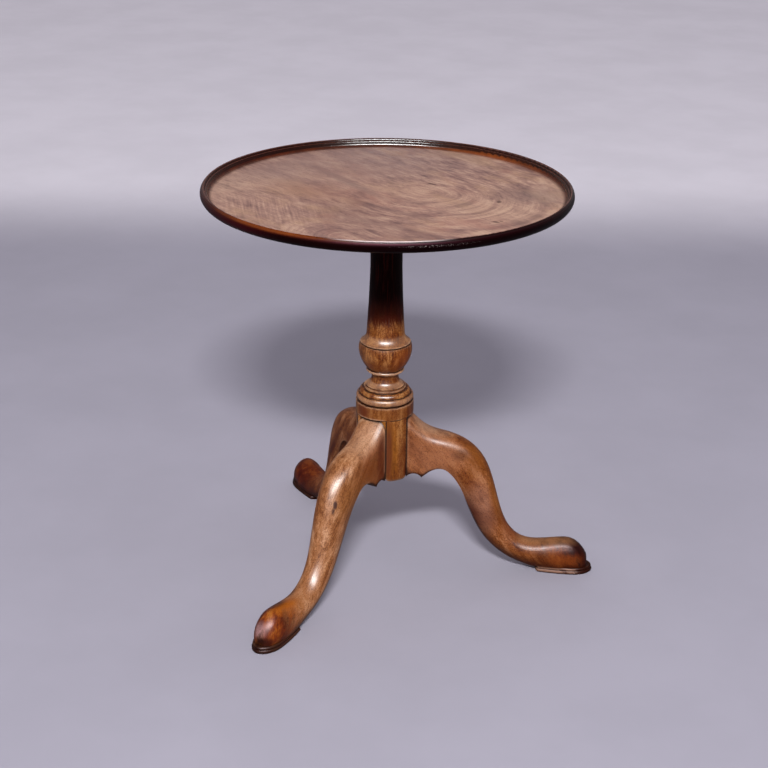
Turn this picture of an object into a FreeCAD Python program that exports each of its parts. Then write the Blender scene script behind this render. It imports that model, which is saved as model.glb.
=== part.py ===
import FreeCAD, Part
import math
import os

# Tray top tea table: a tip-up dished top on a turned column with three cabriole legs.
# Millimetres, +Z up. The origin is on the floor, on the column's axis.
# The front leg points along -Y and the top tips about an axis along X, its face towards +Y.

# Overall sizes
top_diameter = 606.0
table_height = 695.0
leg_count = 3
front_leg_angle = -90.0

# Fits
overrun = 5.0
glue_line = 0.1
tilt_clearance = 0.3
side_clearance = 0.4
pintle_clearance = 0.06
screw_clearance = 0.1
slide_clearance = 0.2

# Tray top: board, dish and moulded rim
board_thickness = 23.0
tray_depth = 13.0
edge_thickness = 18.0
edge_round = 4.4
bevel_run = 46.0
crest_width = 3.6
crest_drop = 3.0
bead_width = 3.6
bead_drop = 2.4
quirk_step = 0.5
cove_width = 4.8
crest_bulge_share = 0.22
rim_bead_bulge_share = 0.24
cove_bulge_share = -0.2

# Column, from the legs up
drum_top = 295.5
drum_radius = 48.8
collar_radius = 49.4
collar_height = 23.3
torus_radius = 48.8
torus_height = 13.0
ovolo_radius = 43.7
ovolo_height = 8.0
fillet_radius = 36.0
fillet_height = 3.4
flare_radius = 33.0
flare_edge = 2.8
neck_radius = 23.6
neck_rise = 10.0
scotia_height = 24.2
ring_radius = 32.4
ring_height = 5.3
ring_neck_radius = 27.2
bowl_foot_radius = 31.0
bowl_radius = 44.8
bowl_height = 47.0
bowl_belly_drop = 16.5
bowl_lip_radius = 43.6
shoulder_radius = 42.8
sweep_height = 15.0
shaft_foot_radius = 32.4
shaft_radius = 26.7
shaft_taper_height = 118.0
quirk_depth = 1.3
quirk_width = 1.2
torus_bulge_share = 0.34
bead_bulge_share = 0.24
scotia_bulge_share = -0.16
bowl_bulge_share = 0.07
lip_bulge_share = 0.06
sweep_bulge_share = -0.127
shaft_bulge_share = -0.006

# Lobed foot of the drum between the legs
lobe_bottom = 182.0
lobe_notch_rise = 14.5
lobe_end_rise = 5.0
lobe_middle_share = 0.52
lobe_depth = 8.0

# Column tenon and its wedge
tenon_radius = 17.0
kerf_depth = 26.0
kerf_width = 3.6
kerf_tip_share = 0.35

# Legs
leg_thickness = 57.0
leg_reach = 321.0
tongue_depth = 20.0
tongue_neck_width = 16.0
tongue_tail_width = 24.0
tongue_stop = 14.0
crown = 8.0
arris_share = 0.44
arris_ease_share = 0.56
flat_side_share = 0.995
flat_base_share = 0.985

# One row per section: crest reach, crest height, underside reach, underside height, width,
# squareness of the top and of the base, as shares of the leg's reach, the drum top and the thickness
leg_section_shares = (
    (0.000, 0.998, 0.000, 0.582, 1.00, 1.00, 1.00),
    (0.034, 0.964, 0.034, 0.590, 1.00, 1.00, 1.00),
    (0.074, 0.924, 0.082, 0.616, 1.00, 1.00, 1.00),
    (0.138, 0.887, 0.130, 0.658, 1.00, 0.92, 1.00),
    (0.219, 0.865, 0.186, 0.673, 0.99, 0.68, 0.95),
    (0.309, 0.828, 0.233, 0.645, 0.98, 0.35, 0.92),
    (0.390, 0.757, 0.273, 0.583, 0.96, 0.10, 0.80),
    (0.443, 0.660, 0.303, 0.509, 0.94, 0.00, 0.62),
    (0.479, 0.541, 0.326, 0.434, 0.91, 0.00, 0.42),
    (0.509, 0.422, 0.353, 0.360, 0.87, 0.00, 0.25),
    (0.546, 0.312, 0.392, 0.271, 0.83, 0.00, 0.12),
    (0.602, 0.229, 0.459, 0.169, 0.80, 0.00, 0.00),
    (0.677, 0.191, 0.570, 0.074, 0.80, 0.00, 0.00),
    (0.758, 0.193, 0.702, 0.012, 0.82, 0.00, 0.00),
    (0.833, 0.205, 0.830, -0.035, 0.86, 0.00, 0.00),
    (0.909, 0.202, 0.909, -0.030, 0.84, 0.00, 0.00),
    (0.957, 0.168, 0.957, -0.020, 0.73, 0.00, 0.00),
    (0.990, 0.120, 0.990, 0.000, 0.48, 0.00, 0.00),
    (1.000, 0.069, 1.000, 0.024, 0.18, 0.00, 0.00),
)

# Sawn scallop under the bracket, as shares of the leg's reach and the drum top
scallop_start_shares = (0.0, 0.620)
scallop_peak_shares = (0.028, 0.640)
scallop_cusp_shares = (0.080, 0.622)

# Sole of each foot
sole_length = 101.0
sole_width = 50.0
sole_height = 11.0
sole_bead_share = 0.58
sole_toe_overhang = 10.0
sole_toe_length = 38.0
sole_heel_share = 0.72
sole_flank_share = 0.70
sole_heel_bow = 4.0
heel_height = 9.8

# Pivot block and bearers
block_width = 140.0
block_thickness = 36.0
pintle_radius = 9.0
pintle_inset = 17.0
bearer_width = 24.0
bearer_height = 36.0
bearer_length = 390.0
bearer_flat = 176.0
bearer_end_height = 14.0
bearer_bow_share = 0.05
bearer_screw_shares = (-0.9, -0.48, 0.48, 0.9)

# Wood screws
screw_radius = 2.0
screw_head_radius = 4.2
screw_head_height = 2.6
screw_slot_width = 0.8
screw_slot_depth = 1.0
screw_bite = 7.0
screw_point = 4.0
bearer_head_depth = 4.0

# Snap catch
bolt_width = 14.0
bolt_thickness = 6.0
bolt_length = 44.0
bolt_drop = 9.0
bolt_gap = 1.5
bolt_travel = 9.0
bolt_bevel = 4.5
plate_thickness = 2.0
plate_width = 56.0
plate_length = 52.0
plate_front_gap = 4.0
plate_hole_inset = 6.0
case_width = 32.0
case_length = 50.0
case_height = 13.0
case_wall = 1.5
knob_stem_radius = 2.5
knob_radius = 6.5
knob_height = 9.0
knob_neck = 3.0
knob_back_share = 0.62
knob_bulge_share = 0.16
spring_thickness = 0.6
spring_width = 7.0
spring_end_gap = 0.4
small_screw_radius = 1.5
small_head_radius = 3.0
small_head_height = 1.7
small_screw_bite = 9.0

# Keeper let into the block
keeper_width = 40.0
keeper_height = 15.0
keeper_thickness = 2.0
keeper_hole_inset = 6.5

# Derived places
top_radius = top_diameter / 2
board_bottom = table_height - board_thickness
field_top = table_height - tray_depth
block_top = board_bottom - tilt_clearance
block_bottom = block_top - block_thickness
block_half = block_width / 2
pivot_y = block_half - pintle_inset
pivot_z = board_bottom - pintle_inset
block_back = pivot_y + pintle_inset - tilt_clearance
bearer_inner = block_half + side_clearance
seat_radius = math.sqrt(drum_radius ** 2 - (leg_thickness / 2) ** 2)
tongue_top = drum_top - tongue_stop
joint_bottom = lobe_bottom + lobe_end_rise
bolt_z = board_bottom - bolt_drop
bolt_nose = -block_half - bolt_gap
plate_bottom = board_bottom - plate_thickness
case_bottom = plate_bottom - case_height
case_front = -block_half - plate_front_gap
case_back = case_front - case_length
knob_y = bolt_nose - bolt_length * knob_back_share
leg_angles = [front_leg_angle + step * 360.0 / leg_count for step in range(leg_count)]

up = FreeCAD.Vector(0, 0, 1)
origin = FreeCAD.Vector(0, 0, 0)


def bowed_edge(start, end, bulge):
    # Straight edge, or an arc that stands off its chord by a share of the chord's length
    if bulge == 0:
        return Part.LineSegment(start, end).toShape()
    chord = end - start
    side = FreeCAD.Vector(0, 1, 0).cross(chord)
    middle = (start + end) * 0.5 + side * bulge
    return Part.Arc(start, middle, end).toShape()


def outline_face(points):
    # Closed face in the XZ plane; each point is (x, z, bulge of the edge that leads to it)
    corners = [FreeCAD.Vector(x, 0, z) for x, z, bulge in points]
    edges = []
    for index in range(1, len(points)):
        edges.append(bowed_edge(corners[index - 1], corners[index], points[index][2]))
    edges.append(Part.LineSegment(corners[-1], corners[0]).toShape())
    return Part.Face(Part.Wire(edges))


def turned(points):
    return outline_face(points).revolve(origin, up, 360)


def box(low, high):
    return Part.makeBox(*(high - low), low)


def slab(x, y, z):
    # Box from three spans
    return box(FreeCAD.Vector(x[0], y[0], z[0]), FreeCAD.Vector(x[1], y[1], z[1]))


def prism(points, direction):
    return Part.Face(Part.makePolygon(points + points[:1])).extrude(direction)


def rotated(shape, angle):
    copy = shape.copy()
    copy.rotate(origin, up, angle)
    return copy


def save(name, shape):
    shape.exportStep("parts/" + name + ".step")


def wood_screw(tip_length, radius, head_radius, head_height):
    # Slotted countersunk screw, head top at the origin, pointing along +Z
    screw = turned([
        (0, 0, 0),
        (head_radius, 0, 0),
        (radius, head_height, 0),
        (radius, tip_length - screw_point, 0),
        (0, tip_length, 0),
    ])
    half_slot = screw_slot_width / 2
    slot = slab((-head_radius, head_radius), (-half_slot, half_slot), (-overrun, screw_slot_depth))
    return screw.cut(slot)


def screw_hole(tip_length, radius, head_radius, head_height):
    # Room for the same screw, open above its head
    return turned([
        (0, -overrun, 0),
        (head_radius + screw_clearance, -overrun, 0),
        (head_radius + screw_clearance, 0, 0),
        (radius + screw_clearance, head_height, 0),
        (radius + screw_clearance, tip_length + screw_clearance, 0),
        (0, tip_length + screw_clearance, 0),
    ])


def placed(shape, position, turn=0.0):
    # Turn about X, then move
    copy = shape.copy()
    copy.rotate(origin, FreeCAD.Vector(1, 0, 0), turn)
    copy.translate(position)
    return copy


# Screws: long ones in the bearers, small ones in the catch and the keeper
small_sizes = (small_screw_bite, small_screw_radius, small_head_radius, small_head_height)


def bearer_drop(y):
    # Height of a bearer at a distance along it, on the straight line of its taper
    run = (bearer_length - bearer_flat) / 2
    past = max(0, abs(y) - bearer_flat / 2)
    return bearer_height - (bearer_height - bearer_end_height) * past / run


def bearer_screw_places():
    places = []
    for side in (-1, 1):
        for share in bearer_screw_shares:
            y = share * bearer_length / 2
            head_z = board_bottom - bearer_drop(y) + bearer_head_depth
            places.append(FreeCAD.Vector(side * (bearer_inner + bearer_width / 2), y, head_z))
    return places


def bearer_screw_sizes(place):
    length = board_bottom - place.z + screw_bite
    return (length, screw_radius, screw_head_radius, screw_head_height)


def catch_screw_places():
    places = []
    for x in (-1, 1):
        for y in (case_front - plate_hole_inset, case_front - plate_length + plate_hole_inset):
            places.append(FreeCAD.Vector(x * (plate_width / 2 - plate_hole_inset), y, plate_bottom))
    return places


def keeper_screw_places():
    x = keeper_width / 2 - keeper_hole_inset
    return [FreeCAD.Vector(side * x, -block_half, bolt_z) for side in (-1, 1)]


def make_tray_top():
    rim_top = table_height
    edge_bottom = rim_top - edge_thickness
    crest = top_radius - edge_round
    bead = crest - crest_width
    cove = bead - bead_width
    bead_top = rim_top - crest_drop
    cove_top = bead_top - bead_drop
    board = turned([
        (0, board_bottom, 0),
        (crest - bevel_run, board_bottom, 0),
        (crest, edge_bottom, 0),
        (crest, rim_top, edge_round / edge_thickness),
        (bead, bead_top, crest_bulge_share),
        (bead, bead_top - quirk_step, 0),
        (cove, cove_top, rim_bead_bulge_share),
        (cove, cove_top - quirk_step, 0),
        (cove - cove_width, field_top, cove_bulge_share),
        (0, field_top, 0),
    ])
    for place in bearer_screw_places():
        board = board.cut(placed(screw_hole(*bearer_screw_sizes(place)), place))
    for place in catch_screw_places():
        board = board.cut(placed(screw_hole(*small_sizes), place))
    return board


def make_bearer(side):
    half = bearer_length / 2
    flat = bearer_flat / 2
    low = board_bottom - bearer_height
    tip = board_bottom - bearer_end_height
    profile = outline_face([
        (-half, board_bottom, 0),
        (-half, tip, 0),
        (-flat, low, bearer_bow_share),
        (flat, low, 0),
        (half, tip, bearer_bow_share),
        (half, board_bottom, 0),
    ])
    bearer = profile.extrude(FreeCAD.Vector(0, bearer_width, 0))
    bearer.rotate(origin, up, 90)
    bearer.translate(FreeCAD.Vector(bearer_inner + bearer_width, 0, 0))
    if side < 0:
        bearer = bearer.mirror(origin, FreeCAD.Vector(1, 0, 0))
    bore = Part.makeCylinder(pintle_radius + pintle_clearance, 2 * (bearer_inner + bearer_width + overrun),
                             FreeCAD.Vector(-bearer_inner - bearer_width - overrun, pivot_y, pivot_z),
                             FreeCAD.Vector(1, 0, 0))
    bearer = bearer.cut(bore)
    for place in bearer_screw_places():
        if place.x * side > 0:
            bearer = bearer.cut(placed(screw_hole(*bearer_screw_sizes(place)), place))
    return bearer


def make_pivot_block():
    block = slab((-block_half, block_half), (-block_half, pivot_y), (block_bottom, block_top))
    # Round-over about the tipping axis, so that the board can swing past the back edge
    round_radius = pintle_inset - tilt_clearance
    nose = Part.makeCylinder(round_radius, block_width, FreeCAD.Vector(-block_half, pivot_y, pivot_z),
                             FreeCAD.Vector(1, 0, 0))
    back = slab((-block_half, block_half), (pivot_y, block_back), (block_bottom, pivot_z))
    pintle_reach = bearer_inner + bearer_width - side_clearance
    pintles = Part.makeCylinder(pintle_radius, 2 * pintle_reach,
                                FreeCAD.Vector(-pintle_reach, pivot_y, pivot_z), FreeCAD.Vector(1, 0, 0))
    block = block.fuse([nose, back, pintles]).removeSplitter()
    socket = Part.makeCylinder(tenon_radius + glue_line, block_thickness + 2 * overrun,
                               FreeCAD.Vector(0, 0, block_bottom - overrun))
    half_width = keeper_width / 2 + glue_line
    half_height = keeper_height / 2 + glue_line
    let_in = slab((-half_width, half_width), (-block_half - overrun, -block_half + keeper_thickness),
                  (bolt_z - half_height, bolt_z + half_height))
    half_bolt = bolt_width / 2 + slide_clearance
    half_thick = bolt_thickness / 2 + slide_clearance
    mortise = slab((-half_bolt, half_bolt), (-block_half - overrun, -block_half + bolt_travel),
                   (bolt_z - half_thick, bolt_z + half_thick))
    block = block.cut([socket, let_in, mortise])
    for place in keeper_screw_places():
        block = block.cut(placed(screw_hole(*small_sizes), place, -90))
    return block


def make_keeper_plate():
    half_bolt = bolt_width / 2 + slide_clearance
    half_thick = bolt_thickness / 2 + slide_clearance
    plate = slab((-keeper_width / 2, keeper_width / 2), (-block_half, -block_half + keeper_thickness),
                 (bolt_z - keeper_height / 2, bolt_z + keeper_height / 2))
    plate = plate.cut(slab((-half_bolt, half_bolt), (-block_half - overrun, -block_half + overrun),
                           (bolt_z - half_thick, bolt_z + half_thick)))
    for place in keeper_screw_places():
        plate = plate.cut(placed(screw_hole(*small_sizes), place, -90))
    return plate


def make_catch_plate():
    half = plate_width / 2
    plate = slab((-half, half), (case_front - plate_length, case_front), (plate_bottom, board_bottom))
    for place in catch_screw_places():
        plate = plate.cut(placed(screw_hole(*small_sizes), place))
    return plate


def make_catch_case():
    half = case_width / 2
    inner = half - case_wall
    case = slab((-half, half), (case_back, case_front), (case_bottom, plate_bottom))
    case = case.cut(slab((-inner, inner), (case_back + case_wall, case_front - case_wall),
                         (case_bottom + case_wall, plate_bottom + overrun)))
    half_bolt = bolt_width / 2 + slide_clearance
    half_thick = bolt_thickness / 2 + slide_clearance
    mouth = slab((-half_bolt, half_bolt), (case_front - overrun, case_front + overrun),
                 (bolt_z - half_thick, bolt_z + half_thick))
    half_slot = knob_stem_radius + slide_clearance
    slot = slab((-half_slot, half_slot), (knob_y - half_slot, knob_y + bolt_travel + half_slot),
                (case_bottom - overrun, case_bottom + overrun))
    return case.cut([mouth, slot])


def make_catch_bolt():
    half = bolt_width / 2
    low = bolt_z - bolt_thickness / 2
    high = bolt_z + bolt_thickness / 2
    tail = bolt_nose - bolt_length
    side = [
        FreeCAD.Vector(-half, tail, low),
        FreeCAD.Vector(-half, bolt_nose - bolt_bevel, low),
        FreeCAD.Vector(-half, bolt_nose, high - bolt_thickness + bolt_bevel),
        FreeCAD.Vector(-half, bolt_nose, high),
        FreeCAD.Vector(-half, tail, high),
    ]
    bolt = prism(side, FreeCAD.Vector(bolt_width, 0, 0))
    hole = Part.makeCylinder(knob_stem_radius + glue_line, bolt_thickness + 2 * overrun,
                             FreeCAD.Vector(0, knob_y, low - overrun))
    return bolt.cut(hole)


def make_catch_knob():
    stem_top = bolt_z + bolt_thickness / 2
    neck = case_bottom - knob_neck
    base = neck - knob_height
    middle = (neck + base) / 2
    knob = turned([
        (0, base, 0),
        (knob_stem_radius, base, 0),
        (knob_radius, middle, knob_bulge_share),
        (knob_stem_radius, neck, knob_bulge_share),
        (knob_stem_radius, stem_top, 0),
        (0, stem_top, 0),
    ])
    knob.translate(FreeCAD.Vector(0, knob_y, 0))
    return knob


def make_catch_spring():
    # Bow of spring strip between the case's back wall and the bolt's tail
    wall = case_back + case_wall + spring_end_gap
    tail = bolt_nose - bolt_length - spring_end_gap
    half = case_width / 2 - case_wall - spring_end_gap
    rise = tail - wall - spring_thickness
    low = bolt_z - spring_width / 2

    def bow(y):
        return Part.Arc(FreeCAD.Vector(-half, y, low), FreeCAD.Vector(0, y + rise, low),
                        FreeCAD.Vector(half, y, low)).toShape()

    front = bow(wall + spring_thickness)
    back = bow(wall)
    ends = []
    for side in (-1, 1):
        ends.append(Part.LineSegment(FreeCAD.Vector(side * half, wall, low),
                                     FreeCAD.Vector(side * half, wall + spring_thickness, low)).toShape())
    strip = Part.Face(Part.Wire(Part.__sortEdges__([front, back] + ends)))
    return strip.extrude(FreeCAD.Vector(0, 0, spring_width))


def tongue(extra, below):
    # Sliding dovetail of a leg that points along +X, grown on every side and carried on below
    neck = tongue_neck_width / 2 + extra
    tail = tongue_tail_width / 2 + extra
    inner = seat_radius - tongue_depth - extra
    outer = seat_radius + glue_line
    low = joint_bottom - below
    points = [
        FreeCAD.Vector(outer, -neck, low),
        FreeCAD.Vector(outer, neck, low),
        FreeCAD.Vector(inner, tail, low),
        FreeCAD.Vector(inner, -tail, low),
    ]
    return prism(points, FreeCAD.Vector(0, 0, tongue_top + extra - low))


def make_column():
    collar_top = drum_top + collar_height
    torus_top = collar_top + torus_height
    ovolo_top = torus_top + ovolo_height
    fillet_top = ovolo_top + fillet_height
    flare_top = fillet_top + flare_edge
    neck_z = flare_top + neck_rise
    scotia_top = flare_top + scotia_height
    ring_top = scotia_top + ring_height
    bowl_top = ring_top + bowl_height
    sweep_top = bowl_top + sweep_height
    taper_top = sweep_top + shaft_taper_height
    torus_edge = torus_radius - torus_height * torus_bulge_share
    ring_edge = ring_radius - ring_height * torus_bulge_share
    column = turned([
        (0, lobe_bottom, 0),
        (drum_radius, lobe_bottom, 0),
        (drum_radius, drum_top, 0),
        (collar_radius, drum_top, 0),
        (collar_radius, collar_top - quirk_width, 0),
        (torus_edge, collar_top, 0),
        (torus_edge, torus_top, torus_bulge_share),
        (ovolo_radius, torus_top, 0),
        (fillet_radius, ovolo_top, bead_bulge_share),
        (fillet_radius, fillet_top, 0),
        (flare_radius, fillet_top, 0),
        (flare_radius, flare_top, 0),
        (neck_radius, neck_z, scotia_bulge_share),
        (ring_neck_radius, scotia_top, scotia_bulge_share),
        (ring_edge, scotia_top, 0),
        (ring_edge, ring_top, torus_bulge_share),
        (bowl_foot_radius, ring_top + quirk_width, 0),
        (bowl_radius, bowl_top - bowl_belly_drop, bowl_bulge_share),
        (bowl_lip_radius, bowl_top - quirk_width, lip_bulge_share),
        (bowl_lip_radius - 2 * quirk_depth, bowl_top, 0),
        (shoulder_radius, bowl_top + quirk_width, 0),
        (shaft_foot_radius, sweep_top, sweep_bulge_share),
        (shaft_radius, taper_top, shaft_bulge_share),
        (shaft_radius, block_bottom, 0),
        (tenon_radius, block_bottom, 0),
        (tenon_radius, block_top, 0),
        (0, block_top, 0),
    ])
    hollow = Part.makeCylinder(drum_radius - lobe_depth, overrun + lobe_end_rise,
                               FreeCAD.Vector(0, 0, lobe_bottom - overrun))
    column = column.cut([hollow, kerf(0)])
    for angle in leg_angles:
        column = column.cut(rotated(leg_flat(), angle))
        column = column.cut(rotated(lobe_cut(), angle + 180.0))
        column = column.cut(rotated(tongue(glue_line, overrun), angle))
    return column


def leg_flat():
    # Wood taken off the drum for the shoulder of a leg that points along +X
    reach = collar_radius + overrun
    return slab((seat_radius, reach), (-reach, reach), (lobe_bottom - overrun, drum_top))


def lobe_cut():
    # Space under the two lobes between a pair of legs, for the sector along +X
    half_angle = math.radians(180.0 / leg_count) - math.asin(leg_thickness / 2 / drum_radius)
    edge = drum_radius * math.sin(half_angle)
    wide = drum_radius + overrun
    low = lobe_bottom - overrun
    inner = drum_radius - lobe_depth - 2 * overrun
    notch = FreeCAD.Vector(inner, 0, lobe_bottom + lobe_notch_rise)
    left = FreeCAD.Vector(inner, -wide, low)
    right = FreeCAD.Vector(inner, wide, low)
    edges = [Part.LineSegment(left, right).toShape()]
    for side in (-1, 1):
        end = FreeCAD.Vector(inner, side * edge, joint_bottom)
        bottom = FreeCAD.Vector(inner, side * edge * lobe_middle_share, lobe_bottom)
        outside = FreeCAD.Vector(inner, side * wide, joint_bottom)
        edges.append(Part.Arc(notch, bottom, end).toShape())
        edges.append(Part.LineSegment(end, outside).toShape())
        edges.append(Part.LineSegment(outside, FreeCAD.Vector(inner, side * wide, low)).toShape())
    face = Part.Face(Part.Wire(Part.__sortEdges__(edges)))
    return face.extrude(FreeCAD.Vector(drum_radius - inner + overrun, 0, 0))


def kerf(gap):
    # Tapered saw kerf across the tenon, or the wedge that fills it
    half = kerf_width / 2 - gap
    tip = half * kerf_tip_share
    low = block_top - kerf_depth + gap
    points = [
        FreeCAD.Vector(-tenon_radius, -tip, low),
        FreeCAD.Vector(-tenon_radius, tip, low),
        FreeCAD.Vector(-tenon_radius, half, block_top),
        FreeCAD.Vector(-tenon_radius, -half, block_top),
    ]
    return prism(points, FreeCAD.Vector(2 * tenon_radius, 0, 0))


def make_tenon_wedge():
    inside = Part.makeCylinder(tenon_radius, kerf_depth, FreeCAD.Vector(0, 0, block_top - kerf_depth))
    return kerf(glue_line).common(inside)


def part_way(arc, length):
    # Point on an arc a length after its start, or before its end where the length is negative
    share = length / arc.length() % 1
    return arc.value(arc.FirstParameter + (arc.LastParameter - arc.FirstParameter) * share)


def leg_section(crest, underside, half_width, top_square, base_square):
    # Six-arc section between the crest and the underside of the leg. Where both squarenesses are 0
    # it is a four-centred oval, at 1 a flat-sided block with a crowned top and eased upper arrises.
    centre = (crest + underside) * 0.5
    rise = (crest - underside) * 0.5
    depth = rise.Length
    along = rise * (1 / depth)
    across = FreeCAD.Vector(0, 1, 0)
    turn = math.sqrt(0.5)
    spread = turn ** 2 - (1 - turn) ** 2
    end_radius = (turn * half_width - (1 - turn) * depth) / spread
    oval_width = end_radius * turn
    oval_depth = depth - end_radius * (1 - turn)
    flat_width = half_width * flat_side_share
    top_width = oval_width + (flat_width - oval_width) * top_square
    top_depth = oval_depth + (depth - crown - oval_depth) * top_square
    low_width = oval_width + (flat_width - oval_width) * base_square
    low_depth = oval_depth + (depth * flat_base_share - oval_depth) * base_square

    def point(width, height):
        return centre + across * width + along * height

    corners = [
        point(-top_width, top_depth),
        point(top_width, top_depth),
        point(low_width, -low_depth),
        point(-low_width, -low_depth),
    ]
    middles = [
        point(0, depth),
        point(half_width, (top_depth - low_depth) / 2),
        point(0, -depth),
        point(-half_width, (top_depth - low_depth) / 2),
    ]
    top, right, base, left = [Part.Arc(corners[i], middles[i], corners[(i + 1) % 4]) for i in range(4)]
    ease = half_width * arris_share
    top_start = part_way(top, ease)
    top_end = part_way(top, -ease)
    right_start = part_way(right, ease)
    left_end = part_way(left, -ease)

    def arris(corner, start, end):
        middle = (start + end) * 0.5
        return Part.Arc(start, corner + (middle - corner) * arris_ease_share * top_square, end)

    arcs = [
        Part.Arc(top_start, middles[0], top_end),
        arris(corners[1], top_end, right_start),
        Part.Arc(right_start, part_way(right, (right.length() + ease) / 2), corners[2]),
        base,
        Part.Arc(corners[3], part_way(left, (left.length() - ease) / 2), left_end),
        arris(corners[0], left_end, top_start),
    ]
    return Part.Wire([arc.toShape() for arc in arcs])


def leg_point(reach_share, height_share):
    return FreeCAD.Vector(seat_radius + glue_line + reach_share * leg_reach, 0, height_share * drum_top)


def make_leg():
    # Leg along +X
    sections = []
    for crest_r, crest_z, under_r, under_z, width, top_square, base_square in leg_section_shares:
        crest = leg_point(crest_r, crest_z)
        underside = leg_point(under_r, under_z)
        half_width = width * leg_thickness / 2
        sections.append(leg_section(crest, underside, half_width, top_square, base_square))
    leg = Part.makeLoft(sections, True)
    reach = leg_reach + seat_radius + overrun
    below = slab((0, reach), (-sole_width, sole_width), (-drum_top, heel_height))
    leg = leg.cut([below, scallop()])
    return leg.fuse([make_sole(), tongue(0, 0)]).removeSplitter()


def scallop():
    # Wood sawn away under the bracket, between the column and the cusp
    start = leg_point(*scallop_start_shares)
    peak = leg_point(*scallop_peak_shares)
    cusp = leg_point(*scallop_cusp_shares)
    back = FreeCAD.Vector(seat_radius - overrun, 0, start.z)
    low = lobe_bottom - leg_thickness
    edges = [
        Part.LineSegment(back, start).toShape(),
        Part.Arc(start, peak, cusp).toShape(),
        Part.LineSegment(cusp, FreeCAD.Vector(cusp.x, 0, low)).toShape(),
        Part.LineSegment(FreeCAD.Vector(cusp.x, 0, low), FreeCAD.Vector(back.x, 0, low)).toShape(),
        Part.LineSegment(FreeCAD.Vector(back.x, 0, low), back).toShape(),
    ]
    face = Part.Face(Part.Wire(edges))
    face.translate(FreeCAD.Vector(0, -leg_thickness, 0))
    return face.extrude(FreeCAD.Vector(0, 2 * leg_thickness, 0))


def sole_outline(inset, z):
    # Half-oval toe, flanks that draw in to the back, and a blunt bowed heel
    toe = leg_point(1, 0).x + sole_toe_overhang
    shoulder = toe - sole_toe_length
    heel = toe - sole_length + sole_heel_bow + inset
    half = sole_width / 2 - inset
    heel_half = half * sole_heel_share
    flank_half = heel_half + (half - heel_half) * sole_flank_share
    oval = Part.Ellipse(FreeCAD.Vector(shoulder, 0, z), sole_toe_length - inset, half)
    edges = [Part.ArcOfEllipse(oval, -math.pi / 2, math.pi / 2).toShape()]
    for side in (1, -1):
        front = FreeCAD.Vector(shoulder, side * half, z)
        flank = FreeCAD.Vector((shoulder + heel) / 2, side * flank_half, z)
        back = FreeCAD.Vector(heel, side * heel_half, z)
        edges.append(Part.Arc(front, flank, back).toShape())
    bow = FreeCAD.Vector(heel - sole_heel_bow, 0, z)
    edges.append(Part.Arc(FreeCAD.Vector(heel, heel_half, z), bow, FreeCAD.Vector(heel, -heel_half, z)).toShape())
    return Part.Wire(Part.__sortEdges__(edges))


def make_sole():
    # Pad with a double bead round its edge
    split = sole_height * sole_bead_share
    beads = []
    for low, high, inset in ((0, split, 0), (split, sole_height, quirk_depth)):
        levels = ((low, inset + quirk_depth), ((low + high) / 2, inset), (high, inset + quirk_depth))
        beads.append(Part.makeLoft([sole_outline(draw_in, z) for z, draw_in in levels], True))
    return beads[0].fuse(beads[1])


os.makedirs("parts", exist_ok=True)

save("tray_top", make_tray_top())
save("column", make_column())
leg = make_leg()
for name, angle in zip(("leg_front", "leg_right", "leg_left"), leg_angles):
    save(name, rotated(leg, angle))
save("pivot_block", make_pivot_block())
save("tenon_wedge", make_tenon_wedge())
save("bearer_left", make_bearer(-1))
save("bearer_right", make_bearer(1))
bearer_screws = []
for place in bearer_screw_places():
    bearer_screws.append(placed(wood_screw(*bearer_screw_sizes(place)), place))
save("bearer_screws", Part.makeCompound(bearer_screws))
save("catch_plate", make_catch_plate())
save("catch_case", make_catch_case())
save("catch_bolt", make_catch_bolt())
save("catch_knob", make_catch_knob())
save("catch_spring", make_catch_spring())
catch_screws = [placed(wood_screw(*small_sizes), place) for place in catch_screw_places()]
save("catch_screws", Part.makeCompound(catch_screws))
save("keeper_plate", make_keeper_plate())
keeper_screws = [placed(wood_screw(*small_sizes), place, -90) for place in keeper_screw_places()]
save("keeper_screws", Part.makeCompound(keeper_screws))
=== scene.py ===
import bpy
import math
from mathutils import Matrix

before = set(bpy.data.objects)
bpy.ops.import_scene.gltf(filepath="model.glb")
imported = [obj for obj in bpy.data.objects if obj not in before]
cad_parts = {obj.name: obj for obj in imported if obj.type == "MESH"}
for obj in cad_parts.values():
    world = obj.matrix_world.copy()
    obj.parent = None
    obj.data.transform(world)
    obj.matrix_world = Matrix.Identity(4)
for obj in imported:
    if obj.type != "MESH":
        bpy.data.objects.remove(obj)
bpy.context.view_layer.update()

scene = bpy.context.scene
scene.view_settings.view_transform = "Standard"
print("frame loaded:", len(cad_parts), "nodes")


# small node helpers and the numbers that they share
noiseMiddle = 0.5
mottleSpan = (0.3, 0.7)  # levels of a cloud that hold nearly all of it
bandEdges = (1.4, 0.5)  # outer and inner edge of a narrow band, in half widths
spotEdge = 0.35  # softness of a patch, as a share of its size
lineDepth, lineEdge = 0.02, 0.5
arrisLevels, cornerLevels, cornerSamples = (0.93, 0.6), (0.75, 0.35), 8
swayAlong = 0.3  # share of the sway that runs with the grain
fullGloss = (1.0, 1.0, 1.0)


def addNode(tree, kind, inputs=None, **props):
    made = tree.nodes.new("ShaderNode" + kind)
    for key, value in props.items():
        setattr(made, key, value)
    for key, value in (inputs or {}).items():
        if isinstance(value, bpy.types.NodeSocket):
            tree.links.new(value, made.inputs[key])
        else:
            made.inputs[key].default_value = value
    return made


def calc(tree, operation, first, second=0.0):
    return addNode(tree, "Math", {0: first, 1: second}, operation=operation).outputs[0]


def both(tree, first, second):  # product of two masks, or of a mask and a share
    return calc(tree, "MULTIPLY", first, second)


def scaled(tree, value, factor, offset):
    return addNode(tree, "Math", {0: value, 1: factor, 2: offset}, operation="MULTIPLY_ADD").outputs[0]


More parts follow.
